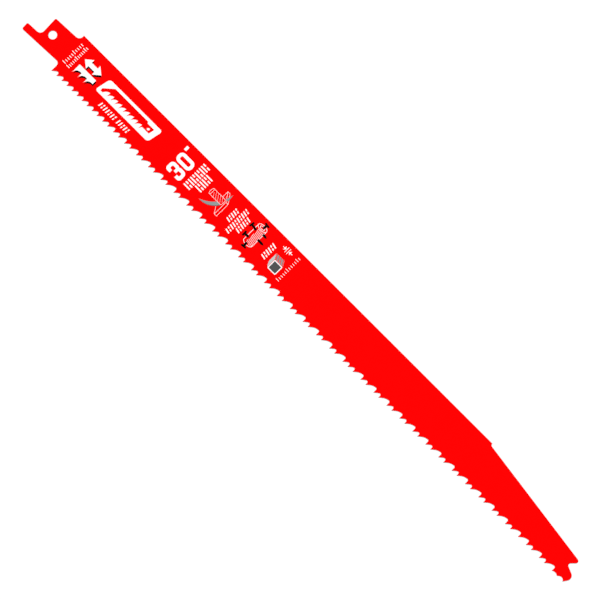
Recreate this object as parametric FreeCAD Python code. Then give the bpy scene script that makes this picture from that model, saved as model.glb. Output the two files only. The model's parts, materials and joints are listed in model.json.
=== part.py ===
import FreeCAD, Part
import math
import os

# A reciprocating saw blade for long flush cuts, punched from one hard steel strip, toothed and set.
# Sizes are millimetres and angles are degrees.
# The origin is the middle of the pin hole, at half the thickness of the steel.
# +X runs to the nose, +Y to the back edge and +Z out of the printed side, so the teeth point to -Y.

# The strip that the blade is punched from.
BLADE_LENGTH = 304.8
BLADE_WIDTH = 18.69
THICKNESS = 1.07
BACK_ABOVE_PIN = 8.475

# The shank, which leans a little from the line of the back edge.
PIN_HOLE_DIAMETER = 3.45
SHANK_LEAN = 2.42
SHANK_ABOVE_PIN = 5.64
SHANK_BELOW_PIN = 6.27
SHOULDER_REACH = 3.58
TANG_REACH = 10.6
TANG_WIDTH = 3.23
BACK_ROOT_REACH = 8.86
BACK_ROOT_FILLET = 1.9
TANG_ROOT_FILLET = 1.9
EDGE_ROOT_FILLET = 1.5
SHANK_CORNER_ROUND = 0.65

# The back edge, which steps in and then tapers to the nose.
TAPER_LENGTH = 59.07
STEP_DEPTH = 0.85
STEP_FILLET = 0.95

# The nose: a hook on the back side, a notch, and a round lobe that carries the last tooth.
# Reaches are counted back from the end of the nose, and heights up from the line of the tips.
NOTCH_REACH = 5.18
NOTCH_HEIGHT = 6.3
NOTCH_ROUND = 0.86
HOOK_HEIGHT = 10.04
HOOK_FLANK_ANGLE = 45.0
HOOK_ROUND = 0.98
LOBE_RADIUS = 2.08
LOBE_HEIGHT = 2.76

# The tooth row: short pitches at the shank, then pairs of a long and a short one.
# The pairs grow at first, and widen twice along the blade, so that no two stretches cut in step.
FIRST_TOOTH_REACH = 9.6
SHORT_PITCH = 2.79
LONG_PITCH = 4.384
WIDE_PITCH = 4.58
FINE_TEETH = 9
GROWING_PAIRS = 6
INNER_LONG_PAIRS = 11
INNER_WIDE_PAIRS = 3
OUTER_LONG_PAIRS = 7
OUTER_WIDE_PAIRS = 5

# One tooth: a rake face square to the edge, a straight relief, a hollow heel and a round gullet.
RELIEF_ANGLE = 39.2
RELIEF_LENGTH = 1.55
HEEL_RADIUS = 4.78
GULLET_RADIUS = 0.665

# The last two teeth on the nose, which are low and unset.
LAST_TIP_REACH = 1.45
LAST_PITCH = 3.18
LAST_RELIEF_LENGTH = 0.9

# The set: teeth lean in turn to the printed side, to the plain side and to neither.
TOOTH_SET = 0.26
SET_BELOW_GULLETS = 0.12
SET_ORDER = (1, -1, 0)

# Worked out from the sizes above, and two lengths that only help the cutting.
BACK_Y = BACK_ABOVE_PIN
TIPS_Y = BACK_ABOVE_PIN - BLADE_WIDTH
MARGIN = 1.0
TINY = 1e-6


def point(x, y):
    """A point in the middle plane of the blade."""
    return FreeCAD.Vector(x, y, 0)


def turned(angle, length):
    """A step of the given length at an angle in radians from +X."""
    return point(length * math.cos(angle), length * math.sin(angle))


class Path:
    """A run of joined lines and arcs in the middle plane."""

    def __init__(self, start):
        self.here = start
        self.edges = []

    def line(self, end):
        """Goes straight to the end point."""
        if end.sub(self.here).Length > TINY:
            self.edges.append(Part.LineSegment(self.here, end).toShape())
            self.here = end

    def arc(self, middle, end):
        """Goes on an arc through the middle point to the end point."""
        self.edges.append(Part.Arc(self.here, middle, end).toShape())
        self.here = end

    def swing(self, centre, radius, start_angle, end_angle):
        """Goes round a centre, from one direction seen from it to another, in radians."""
        if abs(start_angle - end_angle) * radius > TINY:
            middle = centre + turned((start_angle + end_angle) / 2, radius)
            self.arc(middle, centre + turned(end_angle, radius))

    def corner(self, corner, after, radius):
        """Goes towards a corner and rounds it towards the next one, as far as there is room."""
        to_here = self.here.sub(corner)
        to_after = after.sub(corner)
        half = to_here.getAngle(to_after) / 2
        trim = min(radius / math.tan(half), to_here.Length, to_after.Length)
        radius = trim * math.tan(half)
        to_here.normalize()
        to_after.normalize()
        inward = to_here.add(to_after).normalize()
        self.line(corner + to_here * trim)
        self.arc(corner + inward * (radius / math.sin(half) - radius), corner + to_after * trim)


def on_shank(along, above):
    """A point given along and across the leaning shank, counted from the pin hole."""
    lean = math.radians(SHANK_LEAN)
    return turned(lean, along) + turned(lean + math.pi / 2, above)


def shank_line_at(x, above):
    """Where a line along the shank, at a given distance above the pin hole, comes to a given x."""
    lean = math.radians(SHANK_LEAN)
    return on_shank((x + above * math.sin(lean)) / math.cos(lean), above)


def tang_end_x():
    """The furthest reach of the tang's rounded end."""
    round_centre = on_shank(SHANK_CORNER_ROUND - TANG_REACH,
                            TANG_WIDTH - SHANK_BELOW_PIN - SHANK_CORNER_ROUND)
    return round_centre.x - SHANK_CORNER_ROUND


def nose_x():
    """The furthest reach of the nose."""
    return tang_end_x() + BLADE_LENGTH


def grazing_point(start, centre, radius, side):
    """Where a straight line from a start point grazes a circle, on its left side (1) or right (-1)."""
    to_centre = centre.sub(start)
    angle = math.atan2(to_centre.y, to_centre.x) + side * math.asin(radius / to_centre.Length)
    return start + turned(angle, math.sqrt(to_centre.Length ** 2 - radius ** 2))


def pairs(count, first_pitch):
    """Gives pairs of pitches, the second of each a short one."""
    for _ in range(count):
        yield first_pitch
        yield SHORT_PITCH


def pitches():
    """Gives one pitch after another, from the shank on."""
    for _ in range(FINE_TEETH):
        yield SHORT_PITCH
    for pair in range(1, GROWING_PAIRS + 1):
        yield from pairs(1, SHORT_PITCH + (LONG_PITCH - SHORT_PITCH) * pair / (GROWING_PAIRS + 1))
    yield from pairs(INNER_LONG_PAIRS, LONG_PITCH)
    yield from pairs(INNER_WIDE_PAIRS, WIDE_PITCH)
    yield SHORT_PITCH
    yield from pairs(OUTER_LONG_PAIRS, LONG_PITCH)
    yield from pairs(OUTER_WIDE_PAIRS, WIDE_PITCH)
    yield LONG_PITCH
    while True:
        yield from pairs(1, LONG_PITCH)


def nose_tips():
    """The tips of the two teeth on the nose."""
    last = nose_x() - LAST_TIP_REACH
    return [point(last - LAST_PITCH, TIPS_Y), point(last, TIPS_Y)]


def row_tips():
    """The tips of the teeth from the shank to the nose, as many as there is room for."""
    tips = [point(FIRST_TOOTH_REACH, TIPS_Y)]
    limit = nose_tips()[0].x - SHORT_PITCH / 2
    for pitch in pitches():
        if tips[-1].x + pitch > limit:
            return tips
        tips.append(tips[-1] + point(pitch, 0))


def relief_end(pitch):
    """Where the straight relief ends, seen from the tip. It is shorter where the pitch is short."""
    relief = math.radians(RELIEF_ANGLE)
    room = pitch - GULLET_RADIUS * (1 + math.sin(relief))
    return turned(relief, min(RELIEF_LENGTH, room / math.cos(relief)))


def heel_centre(pitch):
    """The centre of the hollow heel, which the relief runs into, seen from the tip."""
    return relief_end(pitch) + turned(math.radians(RELIEF_ANGLE) - math.pi / 2, HEEL_RADIUS)


def gullet_centre(pitch):
    """The centre of the gullet, which joins the heel to the next rake face, seen from the tip."""
    heel = heel_centre(pitch)
    between = HEEL_RADIUS - GULLET_RADIUS
    across = pitch - GULLET_RADIUS - heel.x
    return heel + point(across, math.sqrt(between ** 2 - across ** 2))


def gullet_depth(pitch):
    """How deep the gullet lies behind the line of the tips."""
    return gullet_centre(pitch).y + GULLET_RADIUS


def cut_tooth(path, next_tip):
    """Cuts one tooth's relief, heel and gullet, and the next tooth's rake face."""
    tip = path.here
    pitch = next_tip.x - tip.x
    heel = heel_centre(pitch)
    gullet = gullet_centre(pitch)
    relief_normal = math.radians(RELIEF_ANGLE) + math.pi / 2
    joint_normal = math.atan2(gullet.y - heel.y, gullet.x - heel.x)
    path.line(tip + relief_end(pitch))
    path.swing(tip + heel, HEEL_RADIUS, relief_normal, joint_normal)
    path.swing(tip + gullet, GULLET_RADIUS, joint_normal, 0)
    path.line(next_tip)


def cut_nose_tooth(path, next_tip, straight):
    """Cuts the low hollow between two tips of the nose: a straight relief, then one arc."""
    relief = math.radians(RELIEF_ANGLE)
    path.line(path.here + turned(relief, straight))
    chord = next_tip.sub(path.here)
    turn = relief - math.atan2(chord.y, chord.x)
    radius = chord.Length / (2 * math.sin(turn))
    centre = path.here + turned(relief - math.pi / 2, radius)
    path.swing(centre, radius, relief + math.pi / 2, relief + math.pi / 2 - 2 * turn)


def cut_nose(path):
    """Goes from the last tip round the lobe, the notch and the hook to the taper's step."""
    end = nose_x()
    lobe = point(end - LOBE_RADIUS, TIPS_Y + LOBE_HEIGHT)
    notch = point(end - NOTCH_REACH, TIPS_Y + NOTCH_HEIGHT)
    flank = math.radians(HOOK_FLANK_ANGLE)
    hook = notch + turned(flank, (HOOK_HEIGHT - NOTCH_HEIGHT) / math.sin(flank))
    step_foot = point(end - TAPER_LENGTH, BACK_Y - STEP_DEPTH)
    step_top = point(step_foot.x, BACK_Y)
    lobe_start = grazing_point(path.here, lobe, LOBE_RADIUS, -1)
    lobe_end = grazing_point(notch, lobe, LOBE_RADIUS, 1)
    path.line(lobe_start)
    path.arc(lobe + point(LOBE_RADIUS, 0), lobe_end)
    path.corner(notch, hook, NOTCH_ROUND)
    path.corner(hook, step_foot, HOOK_ROUND)
    path.corner(step_foot, step_top, STEP_FILLET)
    path.line(step_top)


def cut_shank(path):
    """Goes from the back edge round the shank and its tang to the first tip."""
    back_root = point(BACK_ROOT_REACH, BACK_Y)
    back_root_foot = shank_line_at(BACK_ROOT_REACH, SHANK_ABOVE_PIN)
    shoulder = on_shank(-SHOULDER_REACH, SHANK_ABOVE_PIN)
    tang_above = TANG_WIDTH - SHANK_BELOW_PIN
    tang_root = on_shank(-SHOULDER_REACH, tang_above)
    tang_top = on_shank(-TANG_REACH, tang_above)
    tang_bottom = on_shank(-TANG_REACH, -SHANK_BELOW_PIN)
    edge_root = shank_line_at(FIRST_TOOTH_REACH, -SHANK_BELOW_PIN)
    first_tip = point(FIRST_TOOTH_REACH, TIPS_Y)
    path.line(back_root)
    path.corner(back_root_foot, shoulder, BACK_ROOT_FILLET)
    path.corner(shoulder, tang_root, SHANK_CORNER_ROUND)
    path.corner(tang_root, tang_top, TANG_ROOT_FILLET)
    path.corner(tang_top, tang_bottom, SHANK_CORNER_ROUND)
    path.corner(tang_bottom, edge_root, SHANK_CORNER_ROUND)
    path.corner(edge_root, first_tip, EDGE_ROOT_FILLET)
    path.line(first_tip)


def outline_face():
    """The blade's whole side view."""
    tips = row_tips()
    nose = nose_tips()
    path = Path(tips[0])
    for next_tip in tips[1:]:
        cut_tooth(path, next_tip)
    cut_nose_tooth(path, nose[0], 0)
    cut_nose_tooth(path, nose[1], LAST_RELIEF_LENGTH)
    cut_nose(path)
    cut_shank(path)
    return Part.Face(Part.Wire(path.edges))


def bend_y():
    """The line that the set teeth are bent on, which stays clear of the shallowest gullet."""
    tips = row_tips()
    depths = [gullet_depth(after.x - before.x) for before, after in zip(tips, tips[1:])]
    return TIPS_Y + min(depths) - SET_BELOW_GULLETS


def strip_face(low_y, high_y):
    """A flat strip that is longer than the blade, between two heights."""
    left = tang_end_x() - MARGIN
    right = nose_x() + MARGIN
    corners = [point(left, low_y), point(right, low_y), point(right, high_y), point(left, high_y)]
    return Part.Face(Part.makePolygon(corners + corners[:1]))


def centred_plate(face, height):
    """A plate of the given height, half of it on each side of the middle plane."""
    lowered = face.translated(FreeCAD.Vector(0, 0, -height / 2))
    return lowered.extrude(FreeCAD.Vector(0, 0, height))


def leaning_sheet(low_x, high_x, bend, lean):
    """The sheet that one tooth is cut from: as thick as the steel, and bent to one side.

    It goes past the tips, to twice their distance from the bend, and leans twice as far there.
    """
    half = THICKNESS / 2
    end_shift = 2 * lean * TOOTH_SET
    end_y = bend - 2 * (bend - TIPS_Y)
    corners = [FreeCAD.Vector(low_x, bend, -half),
               FreeCAD.Vector(low_x, bend, half),
               FreeCAD.Vector(low_x, end_y, end_shift + half),
               FreeCAD.Vector(low_x, end_y, end_shift - half)]
    section = Part.Face(Part.makePolygon(corners + corners[:1]))
    return section.extrude(FreeCAD.Vector(high_x - low_x, 0, 0))


def set_tooth(face, bend, lean):
    """One tooth below the bend line, leaning to one side or straight."""
    if lean == 0:
        return centred_plate(face, THICKNESS)
    box = face.BoundBox
    tall = centred_plate(face, THICKNESS + 4 * TOOTH_SET)
    return tall.common(leaning_sheet(box.XMin - MARGIN, box.XMax + MARGIN, bend, lean))


def toothed_blade():
    """The blade with its teeth set; the last piece below the bend line is the unset nose."""
    outline = outline_face()
    bend = bend_y()
    body = centred_plate(outline.common(strip_face(bend, BACK_Y + MARGIN)), THICKNESS)
    tooth_faces = outline.common(strip_face(TIPS_Y - MARGIN, bend)).Faces
    tooth_faces.sort(key=lambda face: face.CenterOfMass.x)
    teeth = [set_tooth(face, bend, SET_ORDER[count % len(SET_ORDER)])
             for count, face in enumerate(tooth_faces[:-1])]
    teeth.append(set_tooth(tooth_faces[-1], bend, 0))
    return body.multiFuse(teeth).removeSplitter()


def pin_hole():
    """The round hole that the saw's locking pin drops into."""
    return Part.makeCylinder(PIN_HOLE_DIAMETER / 2, THICKNESS * 2, FreeCAD.Vector(0, 0, -THICKNESS))


def saw_blade():
    """The whole blade as one solid."""
    return toothed_blade().cut(pin_hole())


def write_parts():
    """Writes the one part and prints what it measures."""
    os.makedirs("parts", exist_ok=True)
    blade = saw_blade().Solids[0]
    blade.exportStep("parts/saw_blade.step")
    box = blade.BoundBox
    print("saw_blade", "valid", blade.isValid(), "solids", len(blade.Solids), "faces", len(blade.Faces))
    print("volume mm3", round(blade.Volume, 1), "tips", len(row_tips()) + len(nose_tips()))
    print("x", round(box.XMin, 3), round(box.XMax, 3), "y", round(box.YMin, 3), round(box.YMax, 3),
          "z", round(box.ZMin, 3), round(box.ZMax, 3))


write_parts()
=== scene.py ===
import json
import logging
import math
from collections.abc import Callable, Sequence
from dataclasses import dataclass, field
from enum import Enum
from itertools import accumulate

import bmesh
import bpy
from mathutils import Matrix, Vector
from mathutils.geometry import tessellate_polygon


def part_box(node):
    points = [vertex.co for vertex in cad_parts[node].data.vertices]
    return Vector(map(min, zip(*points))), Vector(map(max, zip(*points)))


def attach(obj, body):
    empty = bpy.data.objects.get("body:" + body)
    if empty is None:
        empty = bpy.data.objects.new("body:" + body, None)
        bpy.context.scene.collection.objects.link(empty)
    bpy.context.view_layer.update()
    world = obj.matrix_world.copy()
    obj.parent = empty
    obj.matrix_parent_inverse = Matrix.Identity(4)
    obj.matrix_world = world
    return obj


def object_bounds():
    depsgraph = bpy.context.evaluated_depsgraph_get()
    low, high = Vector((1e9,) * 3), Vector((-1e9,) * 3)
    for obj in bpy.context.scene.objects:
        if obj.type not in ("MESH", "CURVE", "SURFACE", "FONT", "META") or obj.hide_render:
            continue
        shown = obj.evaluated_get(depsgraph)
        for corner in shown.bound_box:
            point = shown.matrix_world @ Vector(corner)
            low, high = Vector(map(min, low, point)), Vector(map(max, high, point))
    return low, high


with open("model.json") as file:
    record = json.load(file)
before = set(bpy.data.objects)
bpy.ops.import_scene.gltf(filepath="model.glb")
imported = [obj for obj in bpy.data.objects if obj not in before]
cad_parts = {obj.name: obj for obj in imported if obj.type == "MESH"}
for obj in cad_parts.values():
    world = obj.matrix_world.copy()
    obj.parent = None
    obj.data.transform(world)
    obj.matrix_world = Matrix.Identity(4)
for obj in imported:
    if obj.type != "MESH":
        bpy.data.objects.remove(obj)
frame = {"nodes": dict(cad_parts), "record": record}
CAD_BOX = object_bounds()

# The looks of a red reciprocating saw blade that lies flat: its satin coating, the print on its
# upper side, and a plain studio. The frame holds the blade itself, so only finishes and print are
# made here. Sizes are millimetres and angles are degrees, unless a name or comment says otherwise.

log = logging.getLogger("saw_blade_looks")

MM = 0.001
ARC_STEP = 12.0
CORNER_STEP = 15.0
NEARLY_STRAIGHT = 179.0
ITALIC = 12.0

Pair = tuple[float, float]
Point = tuple[float, float]
Loop = list[Point]
Colour = tuple[float, float, float]


# Flat drawing


def polar(centre: Point, radius: float, angle: float) -> Point:
    """The point at a distance from a centre, at an angle from the first axis."""
    turn = math.radians(angle)
    return (centre[0] + radius * math.cos(turn), centre[1] + radius * math.sin(turn))


def arc(centre: Point, radius: float, start: float, end: float, step: float = ARC_STEP) -> Loop:
    """Points about a step apart on an arc, both ends included, in a left turn if end is the larger."""
    count = max(1, math.ceil(abs(end - start) / step))
    return [polar(centre, radius, start + (end - start) * i / count) for i in range(count + 1)]


def oval(centre: Point, half_width: float, half_height: float) -> Loop:
    """A whole ellipse, its first point once."""
    circle = arc((0.0, 0.0), 1.0, 0.0, 360.0)[:-1]
    return [(centre[0] + x * half_width, centre[1] + y * half_height) for x, y in circle]


def bow(start: Point, end: Point, rise: float) -> Loop:
    """A shallow arc between two points.

    Args:
        start: Where it starts.
        end: Where it ends.
        rise: How far its middle stands to the left of the straight line, or to the right if negative.

    Returns:
        The points in order, both ends included.
    """
    across, up = end[0] - start[0], end[1] - start[1]
    chord = math.hypot(across, up)
    half = chord / 2
    radius = (half ** 2 + rise ** 2) / (2 * rise)
    middle = ((start[0] + end[0]) / 2, (start[1] + end[1]) / 2)
    centre = (middle[0] + up / chord * (radius - rise), middle[1] - across / chord * (radius - rise))
    first = math.degrees(math.atan2(start[1] - centre[1], start[0] - centre[0]))
    sweep = 2 * math.degrees(math.asin(min(1.0, half / abs(radius))))
    return arc(centre, abs(radius), first, first - math.copysign(sweep, rise), ARC_STEP / 2)


def rounded(corners: Sequence[tuple[float, float, float]], step: float = ARC_STEP) -> Loop:
    """A closed outline whose corners are rounded.

    Args:
        corners: For each corner its two coordinates and its radius, which may be 0.
        step: About how many degrees lie between two points of a round.

    Returns:
        The outline's points.
    """
    loop: Loop = []
    for i, (x, y, radius) in enumerate(corners):
        corner = Vector((x, y))
        before = Vector(corners[i - 1][:2]) - corner
        after = Vector(corners[(i + 1) % len(corners)][:2]) - corner
        half = before.angle(after) / 2
        if radius <= 0 or 2 * half > math.radians(NEARLY_STRAIGHT):
            loop.append((x, y))
            continue
        trim = min(radius / math.tan(half), before.length / 2, after.length / 2)
        fitted = trim * math.tan(half)
        middle = corner + (before.normalized() + after.normalized()).normalized() * fitted / math.sin(half)
        first, last = (corner + side.normalized() * trim - middle for side in (before, after))
        start = math.degrees(math.atan2(first.y, first.x))
        turn = math.degrees(first.angle_signed(last))
        loop += arc((middle.x, middle.y), fitted, start, start - turn, step)
    return loop


def leaning(loop: Loop, lean: float) -> Loop:
    """The same outline, sheared like italic lettering by an angle."""
    shear = math.tan(math.radians(lean))
    return [(x + y * shear, y) for x, y in loop]


def moved(loop: Loop, across: float, up: float) -> Loop:
    """The same outline, moved to the right and up."""
    return [(x + across, y + up) for x, y in loop]


def block(left: float, bottom: float, width: float, height: float, corner: float = 0.0) -> Loop:
    """An upright rectangle, its corners rounded if they have a radius.

    Args:
        left: Its left side.
        bottom: Its bottom.
        width: Its width.
        height: Its height.
        corner: The radius of its corners.

    Returns:
        Its outline.
    """
    right, top = left + width, bottom + height
    return rounded([(left, bottom, corner), (right, bottom, corner), (right, top, corner),
                    (left, top, corner)], CORNER_STEP)


def beside(spot: Point, before: Point, after: Point, distance: float) -> Point:
    """The corner of a line that runs at a distance to the left of a bend.

    Args:
        spot: The bend.
        before: A point that the path comes from, or the bend itself at the path's start.
        after: A point that the path goes to, or the bend itself at the path's end.
        distance: The distance, negative for the right side.

    Returns:
        The corner.
    """
    here = Vector(spot)
    ways = [way.normalized() for way in (here - Vector(before), Vector(after) - here) if way.length > 0]
    along = sum(ways, Vector((0.0, 0.0))).normalized()
    reach = distance / along.dot(ways[0])
    return (spot[0] - along.y * reach, spot[1] + along.x * reach)


def stroke(path: Loop, width: float) -> Loop:
    """A line of even width along an open path, its bends mitred.

    Args:
        path: The points along its middle.
        width: How wide it is.

    Returns:
        Its outline.
    """
    last = len(path) - 1
    left, right = ([beside(spot, path[max(i - 1, 0)], path[min(i + 1, last)], side)
                    for i, spot in enumerate(path)] for side in (width / 2, -width / 2))
    return left[::-1] + right


def clipped(loop: Loop, region: Loop) -> Loop:
    """What a convex region leaves of an outline.

    Args:
        loop: The outline to cut, which the region must not cut apart.
        region: The region's outline, in a left turn.

    Returns:
        The cut outline, or an empty one.
    """
    for i, (x0, y0) in enumerate(region):
        x1, y1 = region[(i + 1) % len(region)]
        sides = [(x1 - x0) * (y - y0) - (y1 - y0) * (x - x0) for x, y in loop]
        kept: Loop = []
        for j, (here, there) in enumerate(zip(sides, sides[1:] + sides[:1])):
            (xa, ya), (xb, yb) = loop[j], loop[(j + 1) % len(loop)]
            if here >= 0:
                kept.append((xa, ya))
            if here * there < 0:
                share = here / (here - there)
                kept.append((xa + (xb - xa) * share, ya + (yb - ya) * share))
        loop = kept
        if len(loop) < 3:
            return []
    return loop


def hatch(region: Loop, angle: float, pitch: float, width: float) -> list[Loop]:
    """Parallel bars that fill a convex region.

    Args:
        region: The region's outline, in a left turn.
        angle: Which way the bars run.
        pitch: The distance from one bar to the next.
        width: The width of a bar.

    Returns:
        The outline of each bar.
    """
    centre = (sum(x for x, _ in region) / len(region), sum(y for _, y in region) / len(region))
    reach = max(math.dist(centre, corner) for corner in region)
    count = math.ceil(reach / pitch)
    bars = []
    for i in range(-count, count + 1):
        middle = polar(centre, i * pitch, angle + 90)
        whole = stroke([polar(middle, -reach, angle), polar(middle, reach, angle)], width)[::-1]
        cut = clipped(whole, region)
        if cut:
            bars.append(cut)
    return bars


@dataclass
class Shape:
    """One flat field of ink: an outline, and the holes in it."""

    outer: Loop
    holes: list[Loop] = field(default_factory=list)


def framed(outer: Loop, inner: Loop) -> Shape:
    """A field of ink between two outlines, one in the other."""
    return Shape(outer, [inner])


def round_bar(length: float, half: float, flattening: float, line: float) -> Shape:
    """The lines of a round bar that is seen from one end, its far end at the left.

    Args:
        length: The distance between the middles of its two ends.
        half: Half its thickness.
        flattening: How wide an end looks, as a share of its height.
        line: The width of the lines.

    Returns:
        The lines, with the near end and the round side left open.
    """
    edge = line / 2
    wide = half * flattening

    def end(middle: float, grown: float, first: float, last: float) -> Loop:
        """Part of an end's outline, grown outwards or, if negative, inwards."""
        circle = arc((0.0, 0.0), 1.0, first, last)
        return [(middle + x * (wide + grown), y * (half + grown)) for x, y in circle]

    outer = end(0.0, edge, 90.0, 270.0) + end(length, edge, 270.0, 450.0)
    meet = math.degrees(math.asin((half - edge) / (half + edge)))
    side = end(0.0, -edge, 90.0, 270.0) + end(length, edge, 180.0 + meet, 180.0 - meet)
    return Shape(outer, [side, end(length, -edge, 0.0, 360.0)[:-1]])


def turned(shape: Shape) -> Shape:
    """The same field of ink, turned left by a right angle."""
    return Shape([(-y, x) for x, y in shape.outer], [[(-y, x) for x, y in hole] for hole in shape.holes])


def placed_at(shape: Shape, across: float, up: float) -> Shape:
    """The same field of ink, moved."""
    return Shape(moved(shape.outer, across, up), [moved(hole, across, up) for hole in shape.holes])


def plain(loops: Sequence[Loop]) -> list[Shape]:
    """A field of ink without holes for each outline."""
    return [Shape(loop) for loop in loops]


# Finishes


@dataclass
class NodeTree:
    """The shader node tree of a material, a world or a group, which is filled node by node."""

    tree: bpy.types.NodeTree

    def add(self, kind: str, settings: dict[str, object] | None = None,
            values: dict[str, object] | None = None) -> bpy.types.Node:
        """Adds one node.

        Args:
            kind: The node's Blender type.
            settings: Its own settings by name.
            values: Its inputs by socket name, each a value or a socket to link from.

        Returns:
            The node.
        """
        node = self.tree.nodes.new(kind)
        for name, value in (settings or {}).items():
            setattr(node, name, value)
        for name, value in (values or {}).items():
            self.feed(node.inputs[name], value)
        return node

    def feed(self, socket: bpy.types.NodeSocket, value: object) -> None:
        """Gives an input its value, or the socket that it is linked from.

        Args:
            socket: The input.
            value: The value or the socket.
        """
        if isinstance(value, bpy.types.NodeSocket):
            self.tree.links.new(value, socket)
        else:
            socket.default_value = value

    def join(self, kind: str, operation: str, first: object, second: object) -> bpy.types.Node:
        """Adds one sum, of numbers or of vectors.

        Args:
            kind: The node's Blender type.
            operation: The name of the sum.
            first: Its first value or socket.
            second: Its second value or socket.

        Returns:
            The node.
        """
        node = self.add(kind, {"operation": operation})
        for socket, value in zip(node.inputs, (first, second)):
            self.feed(socket, value)
        return node

    def math(self, operation: str, first: object, second: object = 0.0) -> bpy.types.NodeSocket:
        """The result of a sum of numbers or sockets."""
        return self.join("ShaderNodeMath", operation, first, second).outputs[0]

    def mix(self, share: bpy.types.NodeSocket, first: object, second: object) -> bpy.types.NodeSocket:
        """Adds a mix of two colours.

        Args:
            share: The socket that says how much of the second colour there is.
            first: The first colour or socket.
            second: The second colour or socket.

        Returns:
            The socket with the mixed colour.
        """
        node = self.add("ShaderNodeMix", {"data_type": "RGBA"}, {"Factor": share})
        colours = [socket for socket in node.inputs if socket.type == "RGBA"]
        for socket, value in zip(colours, (first, second)):
            self.feed(socket, value)
        return next(socket for socket in node.outputs if socket.type == "RGBA")


def full(colour: Colour) -> tuple[float, float, float, float]:
    """A colour with its alpha, as sockets take it."""
    return (*colour, 1.0)


@dataclass
class LivelySkin:
    """The shared node group that keeps a surface from being one flat colour.

    It makes broad clouds of tone and roughness, and a fine grain of small bumps, from the place
    on the surface. Sizes are given to it in millimetres.
    """

    name: str = "lively_skin"
    cloud_detail: float = 3.0
    grain_detail: float = 2.0
    cloud_share: float = 0.6
    average: float = 0.5
    inputs: tuple[tuple[str, str], ...] = (
        ("Base Color", "NodeSocketColor"),
        ("Cloud Color", "NodeSocketColor"),
        ("Cloud Size", "NodeSocketFloat"),
        ("Cloud Depth", "NodeSocketFloat"),
        ("Grain Size", "NodeSocketFloat"),
        ("Grain Stretch", "NodeSocketFloat"),
        ("Roughness", "NodeSocketFloat"),
        ("Roughness Spread", "NodeSocketFloat"),
    )
    outputs: tuple[tuple[str, str], ...] = (
        ("Color", "NodeSocketColor"),
        ("Roughness", "NodeSocketFloat"),
        ("Height", "NodeSocketFloat"),
    )

    def build(self) -> bpy.types.NodeTree:
        """Makes the group once.

        Returns:
            The node group.
        """
        group = bpy.data.node_groups.new(self.name, "ShaderNodeTree")
        for way, sockets in (("INPUT", self.inputs), ("OUTPUT", self.outputs)):
            for name, kind in sockets:
                group.interface.new_socket(name=name, in_out=way, socket_type=kind)
        nodes = NodeTree(group)
        given = nodes.add("NodeGroupInput").outputs
        place = nodes.add("ShaderNodeTexCoord").outputs["Object"]
        cloud = self.noise(nodes, place, given["Cloud Size"], self.cloud_detail)
        stretch = nodes.add("ShaderNodeCombineXYZ", values={"X": given["Grain Stretch"], "Y": 1.0, "Z": 1.0})
        drawn = nodes.join("ShaderNodeVectorMath", "MULTIPLY", place, stretch.outputs[0])
        grain = self.noise(nodes, drawn.outputs[0], given["Grain Size"], self.grain_detail)
        share = nodes.math("MULTIPLY", cloud, given["Cloud Depth"])
        tone = nodes.mix(share, given["Base Color"], given["Cloud Color"])
        uneven = nodes.math("ADD", nodes.math("MULTIPLY", cloud, self.cloud_share),
                            nodes.math("MULTIPLY", grain, 1 - self.cloud_share))
        centred = nodes.math("SUBTRACT", uneven, self.average)
        offset = nodes.math("MULTIPLY", centred, given["Roughness Spread"])
        rough = nodes.math("ADD", given["Roughness"], offset)
        nodes.add("NodeGroupOutput", values={"Color": tone, "Roughness": rough, "Height": grain})
        return group

    @staticmethod
    def noise(nodes: NodeTree, place: bpy.types.NodeSocket, size: bpy.types.NodeSocket,
              detail: float) -> bpy.types.NodeSocket:
        """Adds noise whose blotches have a size in millimetres.

        Args:
            nodes: The tree to add to.
            place: The socket with the place, in metres.
            size: The socket with the size.
            detail: How many finer layers it has.

        Returns:
            The socket with the noise, about 0.5 on average.
        """
        scale = nodes.math("DIVIDE", 1 / MM, size)
        return nodes.add("ShaderNodeTexNoise", {"noise_dimensions": "3D"},
                         {"Vector": place, "Scale": scale, "Detail": detail}).outputs[0]


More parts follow.
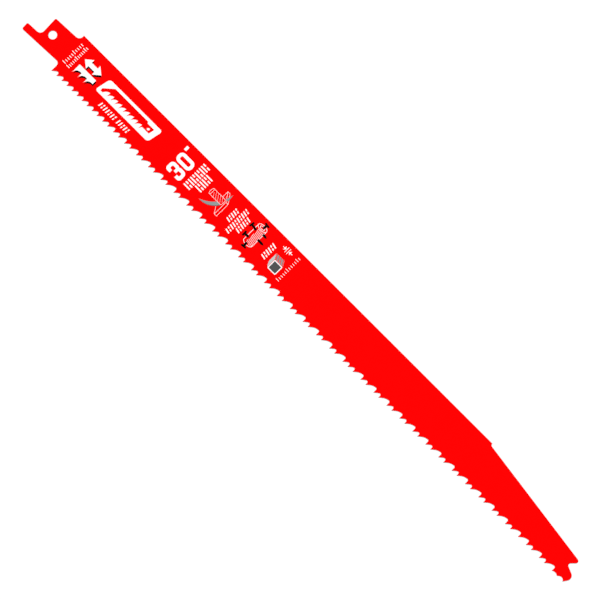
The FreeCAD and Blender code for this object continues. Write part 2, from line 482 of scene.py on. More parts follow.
@dataclass(frozen=True)
class Finish:
    """A finish that every material here starts from: colours, clouds, grain and gloss."""

    name: str
    colour: Colour
    cloud_colour: Colour
    cloud_size: float
    cloud_depth: float
    grain_size: float
    grain_height: float
    roughness: float
    roughness_spread: float
    specular: float
    grain_stretch: float = 1.0
    glow: float = 0.0

    def start(self, skin: bpy.types.NodeTree) -> tuple[bpy.types.Material, NodeTree, bpy.types.Node,
                                                       bpy.types.Node]:
        """Makes the material with its shader and its skin, not yet bumped.

        Args:
            skin: The shared node group.

        Returns:
            The material, its tree, its shader and its skin.
        """
        material = bpy.data.materials.new(self.name)
        material.use_nodes = True
        material.diffuse_color = full(self.colour)
        material.node_tree.nodes.clear()
        nodes = NodeTree(material.node_tree)
        coat = nodes.add("ShaderNodeGroup", {"node_tree": skin}, {
            "Base Color": full(self.colour), "Cloud Color": full(self.cloud_colour),
            "Cloud Size": self.cloud_size, "Cloud Depth": self.cloud_depth,
            "Grain Size": self.grain_size, "Grain Stretch": self.grain_stretch,
            "Roughness": self.roughness, "Roughness Spread": self.roughness_spread})
        shader = nodes.add("ShaderNodeBsdfPrincipled", values={
            "Base Color": coat.outputs["Color"], "Roughness": coat.outputs["Roughness"],
            "Specular IOR Level": self.specular, "Emission Strength": self.glow})
        nodes.add("ShaderNodeOutputMaterial", values={"Surface": shader.outputs[0]})
        return material, nodes, shader, coat

    def bump(self, nodes: NodeTree, shader: bpy.types.Node, height: bpy.types.NodeSocket,
             under: bpy.types.NodeSocket | None = None) -> None:
        """Bumps the shader by a height.

        Args:
            nodes: The material's tree.
            shader: Its shader.
            height: The socket with the height, from 0 to 1.
            under: The socket with the normal under the bumps, if it isn't the surface's own.
        """
        values: dict[str, object] = {"Height": height, "Distance": self.grain_height * MM}
        if under is not None:
            values["Normal"] = under
        bumped = nodes.add("ShaderNodeBump", values=values)
        nodes.tree.links.new(bumped.outputs[0], shader.inputs["Normal"])

    def material(self, skin: bpy.types.NodeTree) -> bpy.types.Material:
        """Makes the whole material.

        Args:
            skin: The shared node group.

        Returns:
            The material.
        """
        material, nodes, shader, coat = self.start(skin)
        self.bump(nodes, shader, coat.outputs["Height"])
        return material


@dataclass(frozen=True)
class BladeCoating(Finish):
    """The red coating, over flat sides that were rolled and edges that were punched and ground.

    Corners are softened as paint softens them. The narrow edge faces carry fine lines from side
    to side, and are near black: partly the thin coat with the steel showing through, and partly
    painted shade. The rims of the flat sides are painted dark as shade too, more so on the toothed
    side. Each pair of limits says where such a change begins and ends: by how level a face is, how
    far it is from bending, or how much it faces the teeth.
    """

    corner_softness: float = 0.2
    corner_samples: int = 6
    level_limits: Pair = (0.5, 0.9)
    rim_limits: Pair = (0.75, 0.99)
    toothed_rim_shade_limits: Pair = (0.95, 0.999)
    toothed_limits: Pair = (-0.15, 0.0)
    edge_line_pitch: float = 0.16
    edge_line_squeeze: float = 0.12
    edge_line_detail: float = 3.0
    edge_line_share: float = 2.0
    # Near black: the thin coat on the edge faces darkened further as painted shade, and the painted shade on
    # the rims
    edge_colour: Colour = (0.016, 0.013, 0.013)
    edge_light: Colour = (0.1, 0.08, 0.078)

    def material(self, skin: bpy.types.NodeTree) -> bpy.types.Material:
        """Makes the coating with its softened corners, its lined edges, and the shade painted on its edges
        and rims.

        Args:
            skin: The shared node group.

        Returns:
            The material.
        """
        material, nodes, shader, coat = self.start(skin)
        normal = nodes.add("ShaderNodeNewGeometry").outputs["True Normal"]
        facing = nodes.add("ShaderNodeSeparateXYZ", values={"Vector": normal})
        on_edge = self.falling(nodes, nodes.math("ABSOLUTE", facing.outputs["Z"]), self.level_limits)
        squeezed = nodes.add("ShaderNodeMapping", values={
            "Vector": nodes.add("ShaderNodeTexCoord").outputs["Object"],
            "Scale": (1.0, 1.0, self.edge_line_squeeze)})
        lines = nodes.add("ShaderNodeTexNoise", {"noise_dimensions": "3D"}, {
            "Vector": squeezed.outputs[0], "Scale": 1 / (self.edge_line_pitch * MM),
            "Detail": self.edge_line_detail})
        cut = nodes.math("MULTIPLY", nodes.math("MULTIPLY", lines.outputs[0], on_edge), self.edge_line_share)
        height = nodes.math("ADD", coat.outputs["Height"], cut)
        soft = nodes.add("ShaderNodeBevel", {"samples": self.corner_samples},
                         {"Radius": self.corner_softness * MM})
        softened = nodes.add("ShaderNodeSeparateXYZ", values={"Vector": soft.outputs[0]})
        unbent = nodes.join("ShaderNodeVectorMath", "DOT_PRODUCT", normal, soft.outputs[0]).outputs["Value"]
        # Painted shade: the edge faces, and a thin band of the flat sides next to each edge, take the dark
        # tone
        rim = nodes.math("MAXIMUM", on_edge, self.falling(nodes, unbent, self.rim_limits))
        toothed = self.falling(nodes, softened.outputs["Y"], self.toothed_limits)
        # Painted shade: the rims on the toothed side are painted darker still
        toothed_rim_shade = nodes.math("MULTIPLY", toothed, self.falling(nodes, unbent, self.toothed_rim_shade_limits))
        # The near-black tone of the edge faces and of the painted shade, with fine lighter lines in it
        thin_coat_and_painted_shade = nodes.mix(lines.outputs[0], full(self.edge_colour), full(self.edge_light))
        tone = nodes.mix(nodes.math("MAXIMUM", rim, toothed_rim_shade), coat.outputs["Color"], thin_coat_and_painted_shade)
        nodes.tree.links.new(tone, shader.inputs["Base Color"])
        self.bump(nodes, shader, height, soft.outputs[0])
        return material

    @staticmethod
    def falling(nodes: NodeTree, value: bpy.types.NodeSocket, limits: Pair) -> bpy.types.NodeSocket:
        """Adds a soft step down.

        Args:
            nodes: The tree to add to.
            value: The socket with the value.
            limits: The value up to which the step is 1, and the one from which on it is 0.

        Returns:
            The socket with the step.
        """
        return nodes.add("ShaderNodeMapRange", {"interpolation_type": "SMOOTHSTEP"}, {
            "Value": value, "From Min": limits[0], "From Max": limits[1],
            "To Min": 1.0, "To Max": 0.0}).outputs[0]


COATING = BladeCoating(
    name="red_satin_coating", colour=(0.93, 0.0005, 0.0005), cloud_colour=(0.86, 0.0003, 0.0003),
    cloud_size=14.0, cloud_depth=0.35, grain_size=0.55, grain_height=0.006, grain_stretch=0.45,
    roughness=0.34, roughness_spread=0.1, specular=0.05)


class Ink(Enum):
    """The inks of the print."""

    WHITE = "white"
    PALE = "pale_grey"
    GREY = "grey"
    CHARCOAL = "charcoal"
    BLACK = "black"


def ink_finish(ink: Ink, colour: Colour, thin: Colour) -> Finish:
    """The finish of one ink, which lies thinner in places and shows the red a little.

    Args:
        ink: The ink.
        colour: Its colour where it covers well.
        thin: Its colour where it is thin.

    Returns:
        The finish.
    """
    return Finish(name=f"{ink.value}_print", colour=colour, cloud_colour=thin, cloud_size=1.6,
                  cloud_depth=0.5, grain_size=0.22, grain_height=0.004, roughness=0.4,
                  roughness_spread=0.15, specular=0.06)


INKS = {
    Ink.WHITE: ink_finish(Ink.WHITE, (0.9, 0.9, 0.9), (0.9, 0.84, 0.83)),
    Ink.PALE: ink_finish(Ink.PALE, (0.5, 0.56, 0.56), (0.46, 0.42, 0.42)),
    Ink.GREY: ink_finish(Ink.GREY, (0.26, 0.3, 0.3), (0.26, 0.24, 0.24)),
    Ink.CHARCOAL: ink_finish(Ink.CHARCOAL, (0.07, 0.078, 0.078), (0.09, 0.06, 0.06)),
    Ink.BLACK: ink_finish(Ink.BLACK, (0.002, 0.002, 0.002), (0.006, 0.001, 0.001)),
}

PAPER = Finish(
    name="pale_floor", colour=(0.09, 0.09, 0.09), cloud_colour=(0.08, 0.08, 0.08), cloud_size=160.0,
    cloud_depth=0.5, grain_size=0.6, grain_height=0.01, roughness=0.9, roughness_spread=0.05,
    specular=0.05, glow=0.97)


# The print


class Reading(Enum):
    """Which way a mark reads on the blade."""

    ALONG = "from the shank to the nose, its top to the back edge"
    ACROSS = "from the teeth to the back edge, its top to the shank"


@dataclass(frozen=True)
class Place:
    """Where a mark's lower left corner lies on the printed side.

    x is counted from the pin hole to the nose, and below from the back edge to the teeth.
    """

    x: float
    below: float
    reading: Reading = Reading.ALONG

    def on_blade(self, spot: Point, back_y: float) -> Point:
        """Turns a spot of the mark's drawing into one on the blade.

        Args:
            spot: The spot, counted right and up from the mark's corner.
            back_y: The height of the back edge in the frame.

        Returns:
            The spot's x and y in the frame.
        """
        right, up = spot
        if self.reading is Reading.ALONG:
            return (self.x + right, back_y - self.below + up)
        return (self.x - up, back_y - self.below + right)


@dataclass
class InkPass:
    """What one pass of the press lays down: fields of one ink, over a number of earlier passes."""

    ink: Ink
    over: int
    shapes: list[Shape]


@dataclass
class PrintedSide:
    """The side of the blade that carries the print, and the press that prints it."""

    back_y: float
    face_z: float
    materials: dict[Ink, bpy.types.Material]
    film: float = 0.018
    sunk: float = 0.006

    def lay(self, name: str, laid: InkPass, place: Place) -> None:
        """Lays one pass down as thin closed slabs that ride on the blade.

        Args:
            name: The piece's name.
            laid: The fields of ink and how many passes lie under them.
            place: Where the mark lies.
        """
        mesh = bpy.data.meshes.new(name)
        slabs = bmesh.new()
        top = self.face_z + self.film * (laid.over + 1)
        for shape in laid.shapes:
            self.slab(slabs, shape, lambda spot: place.on_blade(spot, self.back_y), top)
        bmesh.ops.recalc_face_normals(slabs, faces=slabs.faces)
        slabs.to_mesh(mesh)
        slabs.free()
        mesh.materials.append(self.materials[laid.ink])
        piece = bpy.data.objects.new(name, mesh)
        bpy.context.scene.collection.objects.link(piece)
        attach(piece, "root")

    def slab(self, slabs: bmesh.types.BMesh, shape: Shape, placed: Callable[[Point], Point],
             top: float) -> None:
        """Adds one field of ink with its thickness.

        Args:
            slabs: The mesh to add to.
            shape: The field.
            placed: Turns a spot of the drawing into one in the frame.
            top: The height of its upper face.
        """
        loops = [shape.outer, *shape.holes]
        flat = [[Vector((x, y, 0.0)) for x, y in loop] for loop in loops]
        triangles = tessellate_polygon(flat)
        rims = []
        for height in (self.face_z - self.sunk, top):
            rims.append([[slabs.verts.new((x * MM, y * MM, height * MM)) for x, y in map(placed, loop)]
                         for loop in loops])
            spots = [spot for rim in rims[-1] for spot in rim]
            faces = [slabs.faces.new([spots[i] for i in corners]) for corners in triangles]
            inner = [edge for edge in dict.fromkeys(edge for face in faces for edge in face.edges)
                     if len(edge.link_faces) == 2]
            bmesh.ops.beautify_fill(slabs, faces=faces, edges=inner, method="ANGLE")
        for lower, upper in zip(*rims):
            for i, spot in enumerate(lower):
                after = (i + 1) % len(lower)
                slabs.faces.new((spot, lower[after], upper[after], upper[i]))


@dataclass
class Mark:
    """One mark of the print. Each kind says which passes draw it."""

    name: str
    place: Place

    def passes(self) -> list[InkPass]:
        """The passes that draw the mark, the lowest first."""
        raise NotImplementedError

    def print_on(self, side: PrintedSide) -> None:
        """Prints the mark, as one piece for each pass.

        Args:
            side: The side of the blade.
        """
        for laid in self.passes():
            name = f"{self.name}_{laid.ink.value}"
            side.lay(name, laid, self.place)
            log.info("printed %s: %d fields", name, len(laid.shapes))


@dataclass
class DashRow(Mark):
    """A row of upright or leaning dashes in words, in which some dashes have a gap.

    The gaps come round in turn, each as the share of the height at its middle, or 0 for none. The
    gap after a word is a share of the pitch.
    """

    height: float
    words: tuple[int, ...]
    pitch: float = 1.2
    dash: float = 0.54
    lean: float = 0.0
    corner: float = 0.1
    gaps: tuple[float, ...] = (0.0, 0.5, 0.0, 0.0, 0.5)
    gap_half: float = 0.1
    word_gap: float = 0.6

    def passes(self) -> list[InkPass]:
        """Draws every dash.

        Returns:
            One white pass.
        """
        shapes = []
        left = 0.0
        for i in range(sum(self.words)):
            gap = self.gaps[i % len(self.gaps)]
            parts = [(0.0, gap - self.gap_half), (gap + self.gap_half, 1.0)] if gap else [(0.0, 1.0)]
            for low, high in parts:
                dash = block(0.0, low * self.height, self.dash, (high - low) * self.height, self.corner)
                shapes.append(Shape(moved(leaning(dash, self.lean), left, 0.0)))
            left += self.pitch
            if i + 1 in accumulate(self.words):
                left += self.pitch * self.word_gap
        return [InkPass(Ink.WHITE, 0, shapes)]


@dataclass
class PitchScale(Mark):
    """A small scale of long and short ticks, like the edge of a rule."""

    height: float
    ticks: int
    pitch: float
    long_every: int = 5
    tick: float = 0.28
    short_share: float = 0.68

    def passes(self) -> list[InkPass]:
        """Draws every tick.

        Returns:
            One white pass.
        """
        shapes = []
        for i in range(self.ticks):
            share = 1.0 if i % self.long_every == 0 else self.short_share
            shapes.append(Shape(block(i * self.pitch, 0.0, self.tick, self.height * share)))
        return [InkPass(Ink.WHITE, 0, shapes)]


@dataclass
class StrokeSign(Mark):
    """A bold sign for a saw's stroke: a double arrow over a toothed strip, white on a black shade."""

    width: float = 9.1
    height: float = 9.4
    head_length: float = 2.9
    head_half: float = 2.35
    shaft_half: float = 0.95
    strip_height: float = 2.0
    tooth_depth: float = 2.2
    teeth: int = 3
    tooth_rise: float = 0.28
    root: float = 0.02
    shade_shift: Pair = (0.62, -0.5)

    def arrow(self) -> Loop:
        """Draws the double arrow.

        Returns:
            Its outline.
        """
        middle = self.height - self.head_half
        right_half = [(self.width - self.head_length, -self.shaft_half),
                      (self.width - self.head_length, -self.head_half), (self.width, 0.0),
                      (self.width - self.head_length, self.head_half),
                      (self.width - self.head_length, self.shaft_half)]
        left_half = [(self.width - x, -y) for x, y in right_half]
        return [(x, y + middle) for x, y in right_half + left_half]

    def strip(self) -> Loop:
        """Draws the toothed strip.

        Returns:
            Its outline.
        """
        top = self.strip_height + self.tooth_depth
        pitch = self.width / self.teeth
        loop: Loop = [(self.width, self.tooth_depth), (self.width, top), (0.0, top)]
        for i in range(self.teeth):
            tip = (i * pitch, 0.0)
            gullet = ((i + 1) * pitch, self.tooth_depth)
            loop += bow(tip, gullet, self.tooth_rise * pitch)[:-1]
            loop.append((gullet[0] - self.root, gullet[1]))
        return loop[:-1]

    def passes(self) -> list[InkPass]:
        """Draws the sign and its shade.

        Returns:
            A black pass for the shade, and a white one over it.
        """
        fields = [self.arrow(), self.strip()]
        shade = [moved(loop, *self.shade_shift) for loop in fields]
        return [InkPass(Ink.BLACK, 0, plain(shade)), InkPass(Ink.WHITE, 1, plain(fields))]


@dataclass
class BladePlate(Mark):
    """A white plate with slanted ends, in which a small toothed blade is left open to the red.

    The tooth's reach and rise are shares of its pitch, and the shank's two sides are shares of the
    small blade's height.
    """

    width: float = 29.1
    height: float = 6.9
    corner: float = 1.2
    margin: float = 1.2
    body_length: float = 19.8
    shank_length: float = 4.2
    teeth: int = 9
    tooth_depth: float = 1.9
    tooth_reach: float = 0.92
    tooth_rise: float = 0.22
    belly: float = 0.15
    nose_reach: float = 1.5
    nose_flat: float = 1.1
    nose_slant: float = 3.2
    shank_sides: Pair = (0.3, 0.86)
    neck: float = 0.5
    shoulder: float = 0.1
    hole_radius: float = 0.55
    hole_reach: float = 0.62
    hole_lift: float = 0.2

    def small_blade(self) -> Loop:
        """Draws the small blade, its nose to the left.

        Returns:
            Its outline, counted from its first tooth.
        """
        top = self.height - 2 * self.margin
        pitch = self.body_length / self.teeth
        loop: Loop = [(-self.nose_flat, 0.0)]
        for i in range(self.teeth):
            tip = (i * pitch, self.belly * ((2 * i / self.teeth - 1) ** 2 - 1))
            loop += bow(tip, ((i + self.tooth_reach) * pitch, self.tooth_depth), self.tooth_rise * pitch)
        end = self.body_length
        shank_low, shank_high = (share * top for share in self.shank_sides)
        loop += [(end, 0.0), (end + self.neck, shank_low)]
        loop += [(end + self.shank_length, shank_low), (end + self.shank_length, shank_high)]
        loop += [(end + self.neck, shank_high), (end + self.shoulder, top)]
        loop += [(self.nose_slant - self.nose_reach, top), (-self.nose_reach, self.nose_flat)]
        return loop

    def passes(self) -> list[InkPass]:
        """Draws the open plate, and the pin hole of the small blade.

        Returns:
            One white pass.
        """
        left = self.margin + self.nose_reach
        edge = leaning(block(0.0, 0.0, self.width, self.height, self.corner), ITALIC)
        blade = leaning(moved(self.small_blade(), left, self.margin), ITALIC)
        hole_centre = (left + self.body_length + self.hole_reach * self.shank_length,
                       self.height / 2 + self.hole_lift)
        hole = leaning(oval(hole_centre, self.hole_radius, self.hole_radius), ITALIC)
        return [InkPass(Ink.WHITE, 0, [framed(edge, blade), Shape(hole)])]


@dataclass
class LengthNumber(Mark):
    """The blade's length in centimetres as a plain bold number, with a small raised bar after it.

    The 3's end, its middle bar and how far that reaches are shares of the height, the stroke and
    the width.
    """

    number: str = "30"
    height: float = 7.8
    width: float = 4.35
    stroke: float = 1.4
    gap: float = 0.85
    outer_round: float = 1.9
    inner_round: float = 0.5
    end_share: float = 0.33
    middle_share: float = 0.92
    middle_reach: float = 0.36
    waist: float = 0.32
    waist_round: float = 0.35
    bar_width: float = 1.9
    bar_height: float = 1.2
    bar_corner: float = 0.2

    def zero(self) -> Shape:
        """Draws the figure 0.

        Returns:
            The figure, with its inside left open.
        """
        return framed(block(0.0, 0.0, self.width, self.height, self.outer_round),
                      block(self.stroke, self.stroke, self.width - 2 * self.stroke,
                            self.height - 2 * self.stroke, self.inner_round))

    def three(self) -> Shape:
        """Draws the figure 3, whose lower half mirrors its upper one.

        Returns:
            The figure.
        """
        middle = self.height / 2
        inner_right = self.width - self.stroke
        inner_top = self.height - self.stroke
        end = self.height * (1 - self.end_share)
        bar_half = self.stroke * self.middle_share / 2
        upper = [(self.width - self.waist, middle, 0.0),
                 (self.width, middle + 2 * self.waist, self.waist_round),
                 (self.width, self.height, self.outer_round), (0.0, self.height, self.outer_round),
                 (0.0, end, 0.0), (self.stroke, end, 0.0), (self.stroke, inner_top, self.inner_round),
                 (inner_right, inner_top, self.inner_round),
                 (inner_right, middle + bar_half, self.inner_round),
                 (self.middle_reach * self.width, middle + bar_half, 0.0)]
        lower = [(x, self.height - y, radius) for x, y, radius in reversed(upper[1:])]
        return Shape(rounded(upper + lower))

    def passes(self) -> list[InkPass]:
        """Draws the figures side by side, and the bar after them.

        Returns:
            One white pass.
        """
        figures = {"0": self.zero(), "3": self.three()}
        shapes = []
        for i, figure in enumerate(self.number):
            left = i * (self.width + self.gap)
            shapes.append(placed_at(figures[figure], left, 0.0))
        end = len(self.number) * (self.width + self.gap)
        bar = block(end, self.height - self.bar_height, self.bar_width, self.bar_height, self.bar_corner)
        shapes.append(Shape(bar))
        return [InkPass(Ink.WHITE, 0, shapes)]


@dataclass
class FlushCutSign(Mark):
    """A sign for flush cutting: a dowel that stands on a board, and a bent blade at its foot.

    The board's corners are given from its front left one in a left turn, and its thickness shows
    below its two near sides.
    """

    line: float = 0.14
    board: tuple[Point, ...] = ((0.5, 1.5), (6.9, 1.5), (10.4, 3.9), (4.0, 3.9))
    board_thickness: float = 1.2
    dowel_middle: Point = (6.1, 2.5)
    dowel_radius: float = 1.35
    dowel_height: float = 6.1
    flattening: float = 0.36
    grain_angle: float = 38.0
    grain_pitch: float = 0.9
    grain_line: float = 0.07
    blade_start: Point = (0.5, 10.2)
    blade_end: Point = (10.9, 1.5)
    blade_rises: Pair = (-3.6, -1.9)
    spine_rise: float = -3.42
    beyond: float = 20.0

    def drawn_board(self) -> list[Shape]:
        """Draws the board, apart from what the dowel hides.

        Returns:
            Its lines.
        """
        near_left, near_right, far_right, far_left = self.board
        middle, _ = self.dowel_middle
        shy = self.line / 2
        sides = [middle + way * (self.dowel_radius + shy) for way in (-1, 1)]
        top = [(sides[0], far_left[1]), far_left, near_left, near_right, far_right, (sides[1], far_right[1])]
        under = [(x, y - self.board_thickness) for x, y in (near_left, near_right, far_right)]
        edge = [(near_left[0], near_left[1] - shy), *under, (far_right[0], far_right[1] - self.line)]
        corner = [(near_right[0], near_right[1] - shy), (near_right[0], under[1][1] + self.line)]
        return plain([stroke(path, self.line) for path in (top, edge, corner)])

    def drawn_dowel(self) -> list[Shape]:
        """Draws the dowel, and the grain on its round side.

        Returns:
            Its lines.
        """
        middle, foot = self.dowel_middle
        radius, flat = self.dowel_radius, self.dowel_radius * self.flattening
        lines = turned(round_bar(self.dowel_height, radius, self.flattening, self.line))
        grained = block(middle - radius + self.line, foot, 2 * (radius - self.line),
                        self.dowel_height - 2 * flat)
        grain = hatch(grained, self.grain_angle, self.grain_pitch, self.grain_line)
        return [placed_at(lines, middle, foot), *plain(grain)]

    def bent(self, rise: float) -> list[Shape]:
        """What the dowel leaves open of a bent strip between two arcs.

        Args:
            rise: The rise of the strip's upper arc.

        Returns:
            The strip's piece before the dowel, and the one after it.
        """
        strip = bow(self.blade_start, self.blade_end, self.blade_rises[0])
        strip += bow(self.blade_end, self.blade_start, -rise)[1:-1]
        reach = self.dowel_radius + self.line
        middle, _ = self.dowel_middle
        far = self.beyond
        regions = [block(middle - reach - far, -far, far, 2 * far), block(middle + reach, -far, far, 2 * far)]
        return plain([clipped(strip, region) for region in regions])

    def passes(self) -> list[InkPass]:
        """Draws the timber, the blade over it, and the blade's darker edge.

        Returns:
            A white, a grey and a charcoal pass.
        """
        return [InkPass(Ink.WHITE, 0, self.drawn_board() + self.drawn_dowel()),
                InkPass(Ink.GREY, 1, self.bent(self.blade_rises[1])),
                InkPass(Ink.CHARCOAL, 2, self.bent(self.spine_rise))]


@dataclass
class NailedLogSign(Mark):
    """A sign for timber with nails in it: a grained log, and black nails that stick out of it.

    The inner ring is a share of the end's size, the shaded part is in half thicknesses, and the
    grain's start and trim are in half widths of the end.
    """

    line: float = 0.22
    log_start: Point = (2.7, 5.2)
    log_length: float = 8.0
    log_half: float = 2.2
    flattening: float = 0.5
    ring: float = 0.5
    shaded: float = 1.3
    grain_angle: float = 12.0
    grain_pitch: float = 0.62
    grain_line: float = 0.16
    nail: float = 0.95
    head: float = 2.3
    head_thickness: float = 0.75
    point_length: float = 0.8
    tip_half: float = 0.05
    grain_start: float = 0.4
    grain_trim: float = 0.75
    whole_nails: tuple[tuple[Point, Point], ...] = (
        ((4.3, 9.2), (4.4, 6.6)), ((8.9, 9.6), (8.3, 6.4)),
        ((0.1, 5.4), (2.5, 5.6)), ((13.1, 4.6), (10.7, 4.9)))
    nail_points: tuple[tuple[Point, Point], ...] = (((6.2, 3.3), (6.1, 0.1)), ((9.1, 3.3), (8.8, 1.1)))

    def driven(self, head: Point, end: Point, pointed: bool = False) -> Loop:
        """A nail from the middle of its head to where it goes in, or to its tip.

        Args:
            head: The middle of the head's outer face, or where a pointed nail comes out.
            end: Where the nail goes in, or its tip.
            pointed: Whether this is the pointed end of a nail.

        Returns:
            Its outline.
        """
        length = math.dist(head, end)
        along = ((end[0] - head[0]) / length, (end[1] - head[1]) / length)
        half = self.nail / 2
        if pointed:
            profile = [(0.0, half), (length - self.point_length, half), (length, self.tip_half)]
        else:
            profile = [(0.0, self.head / 2), (self.head_thickness, self.head / 2),
                       (self.head_thickness, half), (length, half)]
        profile += [(x, -y) for x, y in reversed(profile)]
        return [(head[0] + x * along[0] - y * along[1], head[1] + x * along[1] + y * along[0])
                for x, y in profile]

    def drawn_log(self) -> list[Shape]:
        """Draws the log, its inner year ring and its grain.

        Returns:
            Its lines.
        """
        left, middle = self.log_start
        wide = self.log_half * self.flattening
        lines = placed_at(round_bar(self.log_length, self.log_half, self.flattening, self.line), left, middle)
        ring = framed(*(oval((left + self.log_length, middle), (wide + edge) * self.ring,
                             (self.log_half + edge) * self.ring) for edge in (self.line, -self.line)))
        grained = block(left - self.grain_start * wide, middle - self.log_half + self.line,
                        self.log_length - self.grain_trim * wide, self.shaded * self.log_half)
        return [lines, ring, *plain(hatch(grained, self.grain_angle, self.grain_pitch, self.grain_line))]

    def passes(self) -> list[InkPass]:
        """Draws the log, and the nails over it.

        Returns:
            A white pass and a black one.
        """
        nails = [self.driven(*nail) for nail in self.whole_nails]
        nails += [self.driven(*point, pointed=True) for point in self.nail_points]
        return [InkPass(Ink.WHITE, 0, self.drawn_log()), InkPass(Ink.BLACK, 1, plain(nails))]


@dataclass
class SteelTubeSign(Mark):
    """A sign for steel and its thickness: a square tube seen from one end, and two facing arrows."""

    side: float = 4.3
    wall: float = 0.4
    depth: Pair = (2.1, 1.15)
    gap: float = 0.16
    hatch_angle: float = 28.7
    hatch_pitch: float = 0.95
    hatch_bar: float = 0.66
    arrow_x: float = 10.3
    outer_round: float = 0.45
    inner_round: float = 0.2
    gauge_half: float = 1.3
    gauge_low: float = 2.75
    gauge_high: float = 3.75
    gauge_line: float = 0.26
    arrow_half: float = 0.95
    arrow_head: float = 0.85
    arrow_shaft: float = 0.9

    def tube_sides(self) -> list[Loop]:
        """Draws the tube's upper side and its right side, with a little red left between them.

        Returns:
            The outline of each side.
        """
        side, gap = self.side, self.gap
        across_depth, up_depth = self.depth
        upper = [(gap, side + gap), (side, side + gap), (side + across_depth, side + gap + up_depth),
                 (gap + across_depth, side + gap + up_depth)]
        right = [(side + gap, gap), (side + gap + across_depth, gap + up_depth),
                 (side + gap + across_depth, side + up_depth), (side + gap, side)]
        return [upper, right]

    def arrow(self, edge: float, way: float) -> list[Loop]:
        """A gauge line, and the arrow that points at it.

        Args:
            edge: The height of the line's middle.
            way: 1 for an arrow above the line, -1 for one below it.

        Returns:
            The outlines of the line and the arrow.
        """
        middle = self.arrow_x
        line = stroke([(middle - self.gauge_half, edge), (middle + self.gauge_half, edge)], self.gauge_line)
        tip = edge + way * self.gauge_line
        base = tip + way * self.arrow_head
        end = base + way * self.arrow_shaft
        half = self.gauge_line / 2
        pointer = [(middle, tip), (middle + self.arrow_half, base), (middle + half, base),
                   (middle + half, end), (middle - half, end), (middle - half, base),
                   (middle - self.arrow_half, base)]
        return [line, pointer]

    def passes(self) -> list[InkPass]:
        """Draws the tube's inside and sides, and over them its end and the arrows.

        Returns:
            Three passes in greys, and a white one.
        """
        hollow = self.side - 2 * self.wall
        end = framed(block(0.0, 0.0, self.side, self.side, self.outer_round),
                     block(self.wall, self.wall, hollow, hollow, self.inner_round))
        under = self.wall / 2
        inside = block(under, under, self.side - 2 * under, self.side - 2 * under)
        upper, right = self.tube_sides()
        arrows = self.arrow(self.gauge_high, 1.0) + self.arrow(self.gauge_low, -1.0)
        bars = hatch(right, self.hatch_angle, self.hatch_pitch, self.hatch_bar)
        return [InkPass(Ink.CHARCOAL, 0, plain([inside])), InkPass(Ink.GREY, 0, plain(bars)),
                InkPass(Ink.PALE, 0, plain([upper])), InkPass(Ink.WHITE, 1, [end, *plain(arrows)])]


def across(x: float, below: float) -> Place:
    """The place of a mark that reads across the blade."""
    return Place(x, below, Reading.ACROSS)


def all_marks() -> list[Mark]:
    """Lists every mark of the print.

    Returns:
        The marks, from the shank to the middle of the blade.
    """
    return [
        PitchScale("coarse_scale", across(11.57, 12.9), height=1.73, ticks=10, pitch=1.07),
        PitchScale("fine_scale", across(13.92, 13.1), height=1.73, ticks=12, pitch=0.93),
        StrokeSign("stroke_sign", Place(15.7, 13.3)),
        BladePlate("blade_plate", Place(26.9, 11.77)),
        DashRow("plate_caption", Place(32.2, 15.4), height=2.0, words=(7, 5), pitch=1.28, dash=0.52,
                lean=ITALIC),
        LengthNumber("length_number", across(76.0, 14.2)),
        DashRow("use_heading", across(81.2, 13.6), height=3.45, words=(10,), dash=0.58),
        DashRow("use_heading_end", across(85.05, 11.1), height=3.45, words=(6,), dash=0.57),
        FlushCutSign("flush_cut_sign", across(96.2, 13.8)),
        DashRow("timber_line_a", across(101.2, 11.5), height=2.1, words=(5,), lean=ITALIC),
        DashRow("timber_line_b", across(104.2, 14.9), height=2.15, words=(10,), lean=ITALIC),
        DashRow("timber_line_c", across(106.9, 12.0), height=2.15, words=(6,), lean=ITALIC),
        NailedLogSign("nailed_log_sign", across(117.2, 14.6)),
        DashRow("metal_line", across(121.3, 12.1), height=2.3, words=(6,), lean=ITALIC),
        SteelTubeSign("steel_tube_sign", across(128.5, 13.5)),
        PitchScale("thickness_scale", across(131.3, 14.2), height=1.6, ticks=12, pitch=1.07, tick=0.22),
    ]


# The studio


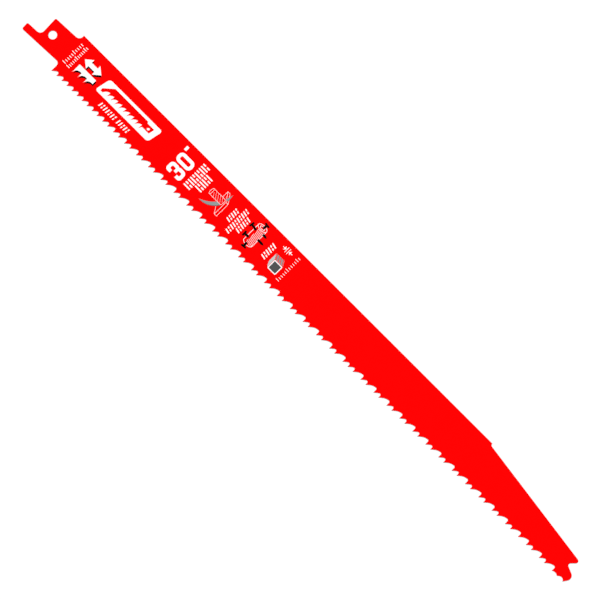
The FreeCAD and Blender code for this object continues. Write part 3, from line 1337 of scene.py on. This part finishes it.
@dataclass
class Studio:
    """A pale floor under the blade, an even soft dome of light, and the camera overhead.

    The dome is dark overhead, so that the satin coating doesn't mirror it in the camera, and dim
    near the horizon. The floor glows, so the blade casts hardly any shadow on it. Each step of the
    dome is a height from 0 at the horizon to 1 overhead, and a share of the light.

    The camera is turned about the upright axis, and tilted from it in the direction tilt_way. The
    size of a pixel is that in the middle of the picture, and the camera sees as far as sight.
    """

    floor_side: float = 24000.0
    floor_gap: float = 0.02
    dome_light: float = 2.2
    dome_steps: tuple[Pair, ...] = ((0.0, 0.12), (0.3, 0.35), (0.5, 1.0), (0.72, 1.0), (0.88, 0.0))
    picture_pixels: int = 600
    pixel_size: float = 0.38924
    pin_hole_pixel: Point = (52.2, 34.5)
    turn: float = 45.14
    tilt: float = 7.5
    tilt_way: float = -20.6
    sensor: float = 36.0
    distance: float = 9000.0
    sight: float = 100000.0

    def lay_floor(self, lowest_z: float, material: bpy.types.Material) -> None:
        """Lays the floor just under the blade.

        Args:
            lowest_z: The height of the blade's lowest point, in metres.
            material: The floor's finish.
        """
        half = self.floor_side * MM / 2
        mesh = bpy.data.meshes.new("floor")
        corners = [(-half, -half, 0.0), (half, -half, 0.0), (half, half, 0.0), (-half, half, 0.0)]
        mesh.from_pydata(corners, [], [(0, 1, 2, 3)])
        mesh.materials.append(material)
        floor = bpy.data.objects.new("floor", mesh)
        floor.location = (0.0, 0.0, lowest_z - self.floor_gap * MM)
        bpy.context.scene.collection.objects.link(floor)

    def light(self) -> None:
        """Makes the dome of light."""
        world = bpy.data.worlds.new("soft_dome")
        world.use_nodes = True
        world.node_tree.nodes.clear()
        nodes = NodeTree(world.node_tree)
        way = nodes.add("ShaderNodeSeparateXYZ", values={
            "Vector": nodes.add("ShaderNodeTexCoord").outputs["Generated"]})
        ramp = nodes.add("ShaderNodeValToRGB", values={"Fac": way.outputs["Z"]})
        ramp.color_ramp.interpolation = "EASE"
        steps = ramp.color_ramp.elements
        for i, (height, share) in enumerate(self.dome_steps):
            step = steps[i] if i < len(steps) else steps.new(height)
            step.position = height
            step.color = full((share, share, share))
        shine = nodes.add("ShaderNodeBackground",
                          values={"Color": ramp.outputs[0], "Strength": self.dome_light})
        nodes.add("ShaderNodeOutputWorld", values={"Surface": shine.outputs[0]})
        bpy.context.scene.world = world
        bpy.context.scene.view_settings.view_transform = "Standard"

    def place_camera(self, face_z: float) -> None:
        """Hangs the camera over the blade, turned so that the blade lies corner to corner.

        It leans a little towards the nose and the teeth, so the walls that face those ways show.

        Args:
            face_z: The height of the printed side.
        """
        turn, tilt, way = (math.radians(angle) for angle in (self.turn, self.tilt, self.tilt_way))
        lean = Vector((math.cos(way), math.sin(way), 0.0))
        right, down = (self.picture_pixels / 2 - pixel for pixel in self.pin_hole_pixel)
        middle = Vector((right * math.cos(turn) + down * math.sin(turn),
                         right * math.sin(turn) - down * math.cos(turn), 0.0)) * self.pixel_size
        middle += lean * middle.dot(lean) * (1 / math.cos(tilt) - 1)
        middle.z = face_z
        data = bpy.data.cameras.new("camera")
        data.sensor_width = self.sensor
        data.lens = self.sensor * self.distance / (self.picture_pixels * self.pixel_size)
        data.clip_end = self.sight * MM
        camera = bpy.data.objects.new("camera", data)
        leaned = Matrix.Rotation(tilt, 4, Vector((-lean.y, lean.x, 0.0))) @ Matrix.Rotation(turn, 4, "Z")
        camera.matrix_world = Matrix.Translation((middle + leaned.col[2].xyz * self.distance) * MM) @ leaned
        bpy.context.scene.collection.objects.link(camera)
        bpy.context.scene.camera = camera


@dataclass
class SawBlade:
    """The blade from the frame, with its coating and its print."""

    node: str = "saw_blade"
    printed_mount: str = "shank_side_printed"

    def coat(self, skin: bpy.types.NodeTree) -> None:
        """Gives the blade its coating.

        Args:
            skin: The shared node group.
        """
        blade = frame["nodes"][self.node]
        coating = COATING.material(skin)
        for slot in blade.material_slots:
            slot.material = coating
        log.info("coated %s with %s", self.node, coating.name)

    def printed_side(self, skin: bpy.types.NodeTree) -> PrintedSide:
        """Finds the side that is printed, from the frame.

        Args:
            skin: The shared node group.

        Returns:
            The side, with its inks.
        """
        _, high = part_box(self.node)
        face_z = next(mount["pos_m"][2] for mount in frame["record"]["mounts"]
                      if mount["name"] == self.printed_mount)
        inks = {ink: finish.material(skin) for ink, finish in INKS.items()}
        return PrintedSide(back_y=high.y / MM, face_z=face_z / MM, materials=inks)


def main() -> None:
    """Builds the blade's looks and the studio, in order."""
    logging.basicConfig(level=logging.INFO, format="%(message)s")
    skin = LivelySkin().build()
    blade = SawBlade()
    blade.coat(skin)
    side = blade.printed_side(skin)
    for mark in all_marks():
        mark.print_on(side)
    studio = Studio()
    studio.lay_floor(CAD_BOX[0].z, PAPER.material(skin))
    studio.light()
    studio.place_camera(side.face_z)
    log.info("set the floor, the light and the camera")


if __name__ == "__main__":
    main()
